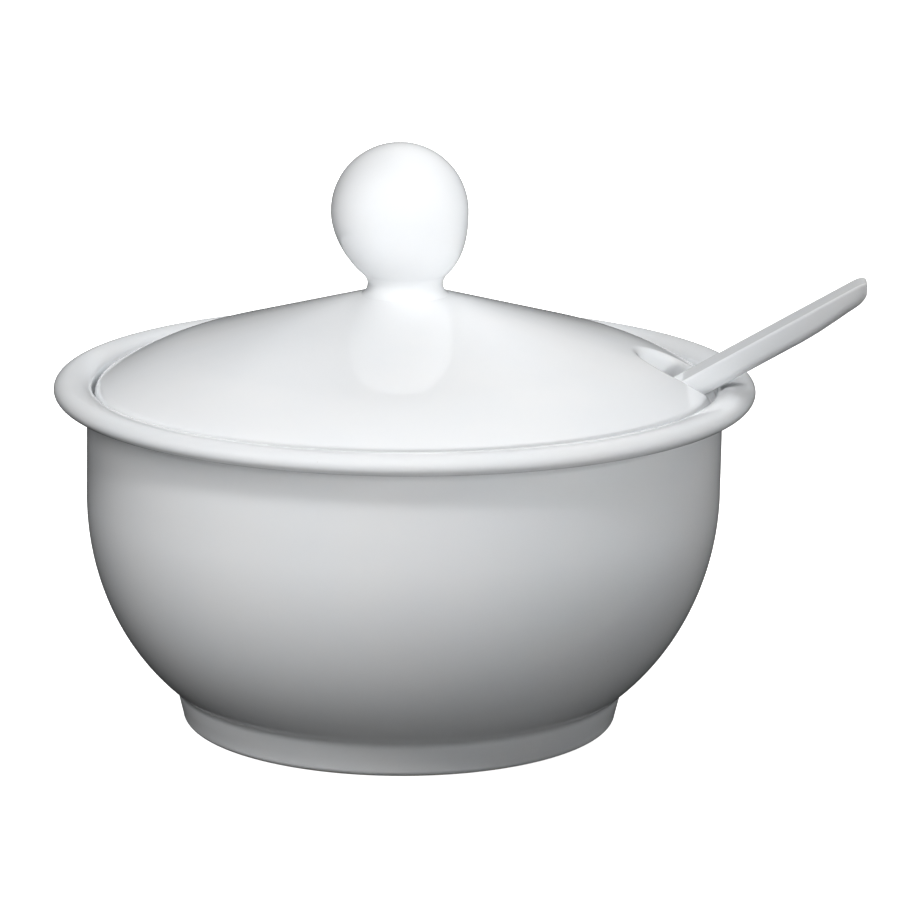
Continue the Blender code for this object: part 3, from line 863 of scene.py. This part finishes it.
def make_camera():
    data = bpy.data.cameras.new("camera")
    data.lens = CAMERA_LENS
    data.sensor_width = 36.0
    data.clip_start = 0.05
    data.clip_end = 20.0
    camera = add_object("camera", data)
    back = outward(CAMERA_AZIMUTH, CAMERA_ELEVATION)
    turn = Matrix.Rotation(math.radians(CAMERA_ROLL), 3, "Z")
    right, up = math.tan(math.radians(AIM_RIGHT)), math.tan(math.radians(AIM_UP))
    seen = Vector((-right, -up, -1.0)).normalized()
    seen.rotate(turn)
    aim = seen.rotation_difference(Vector((0.0, 0.0, -1.0)))
    camera.rotation_mode = "QUATERNION"
    camera.rotation_quaternion = (-back).to_track_quat("-Z", "Y") @ aim @ turn.to_quaternion()
    camera.location = Vector((AXIS_X, 0.0, LOOK_HEIGHT)) + back * CAMERA_DISTANCE
    bpy.context.scene.camera = camera


def aim_lamp(name, data, azimuth, elevation, distance, target):
    """Places a light round the bowl, looking at target."""
    lamp = add_object(name, data)
    lamp.location = Vector((AXIS_X, 0.0, LIGHT_HEIGHT)) + outward(azimuth, elevation) * distance
    lamp.rotation_mode = "QUATERNION"
    lamp.rotation_quaternion = (Vector(target) - lamp.location).to_track_quat("-Z", "Y")
    return lamp


def softbox(name, azimuth, elevation, size, power, highlight):
    data = bpy.data.lights.new(name, "AREA")
    data.shape = "SQUARE"
    data.size = size
    data.energy = power
    lamp = aim_lamp(name, data, azimuth, elevation, SOFTBOX_DISTANCE, (AXIS_X, 0.0, LIGHT_HEIGHT))
    lamp.visible_glossy = highlight


def beam(name, target, azimuth, elevation, half_angle, edge, power):
    """A soft spot that only shapes the shading and leaves no highlight of its own."""
    data = bpy.data.lights.new(name, "SPOT")
    data.energy = power
    data.spot_size = math.radians(2 * half_angle)
    data.spot_blend = edge
    data.shadow_soft_size = BEAM_SOFTNESS
    lamp = aim_lamp(name, data, azimuth, elevation, BEAM_DISTANCE, target)
    lamp.visible_glossy = False


def make_lights():
    beam("key_light", UPPER_BODY, azimuth=-10, elevation=50, half_angle=9, edge=0.6, power=10.8)
    beam("upper_front_light", LEFT_OF_KNOB, azimuth=20, elevation=10, half_angle=5, edge=1.0, power=62.0)
    beam("upper_right_light", KNOB_TOP, azimuth=90, elevation=20, half_angle=5, edge=1.0, power=21.0)
    softbox("left_light", azimuth=-60, elevation=35, size=0.5, power=2.8, highlight=False)
    softbox("back_right_light", azimuth=120, elevation=35, size=0.5, power=2.3, highlight=False)
    softbox("back_light", azimuth=180, elevation=35, size=0.5, power=6.0, highlight=False)
    softbox("large_light", azimuth=-30, elevation=45, size=1.0, power=1.0, highlight=True)


def make_room():
    """A very dim, slightly blue room; the plain view transform keeps its whites white."""
    world = bpy.data.worlds.new("room")
    bpy.context.scene.world = world
    world.use_nodes = True
    background = world.node_tree.nodes["Background"]
    background.inputs["Color"].default_value = ROOM_TINT
    background.inputs["Strength"].default_value = ROOM_STRENGTH
    bpy.context.scene.view_settings.view_transform = "Standard"


def make_floor():
    """Pale paper; its light stays off the bowl, whose underside looks into a dim room."""
    look = Shading("floor_paper")
    fibre = look.noise(look.object_place, PAPER_GRAIN, 3.0)
    look.link(look.mix(fibre, PAPER_DARK, PAPER_LIGHT), look.shader.inputs["Base Color"])
    look.shader.inputs["Roughness"].default_value = 0.9
    look.shader.inputs["Emission Color"].default_value = (1.0, 1.0, 1.0, 1.0)
    look.shader.inputs["Emission Strength"].default_value = FLOOR_GLOW
    side = FLOOR_HALF_SIZE
    corners = [(x, y, -FLOOR_DROP) for x, y in ((-side, -side), (side, -side), (side, side), (-side, side))]
    mesh = bpy.data.meshes.new("floor")
    mesh.from_pydata(corners, [], [(0, 1, 2, 3)])
    mesh.materials.append(look.material)
    floor = add_object("floor", mesh)
    floor.visible_diffuse = False
    floor.visible_glossy = False
    floor.visible_transmission = False


# ---------------------------------------------------------------- assembly

def place_piece(item, material, body, node):
    mark_curvature(item)
    item.data.materials.append(material)
    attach(item, body)
    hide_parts(node)


make_camera()
make_lights()
make_room()
make_floor()
bowl_glaze = porcelain("bowl_glaze", 0.0, bare_foot=True)
place_piece(make_bowl(), bowl_glaze, "bowl", "bowl")
place_piece(make_lid(), porcelain("lid_glaze", 3.1), "lid", "lid")
place_piece(make_knob(), porcelain("knob_glaze", 5.3), "lid", "lid_knob")
place_piece(make_spoon(), porcelain("spoon_glaze", 7.7), "spoon", "spoon")
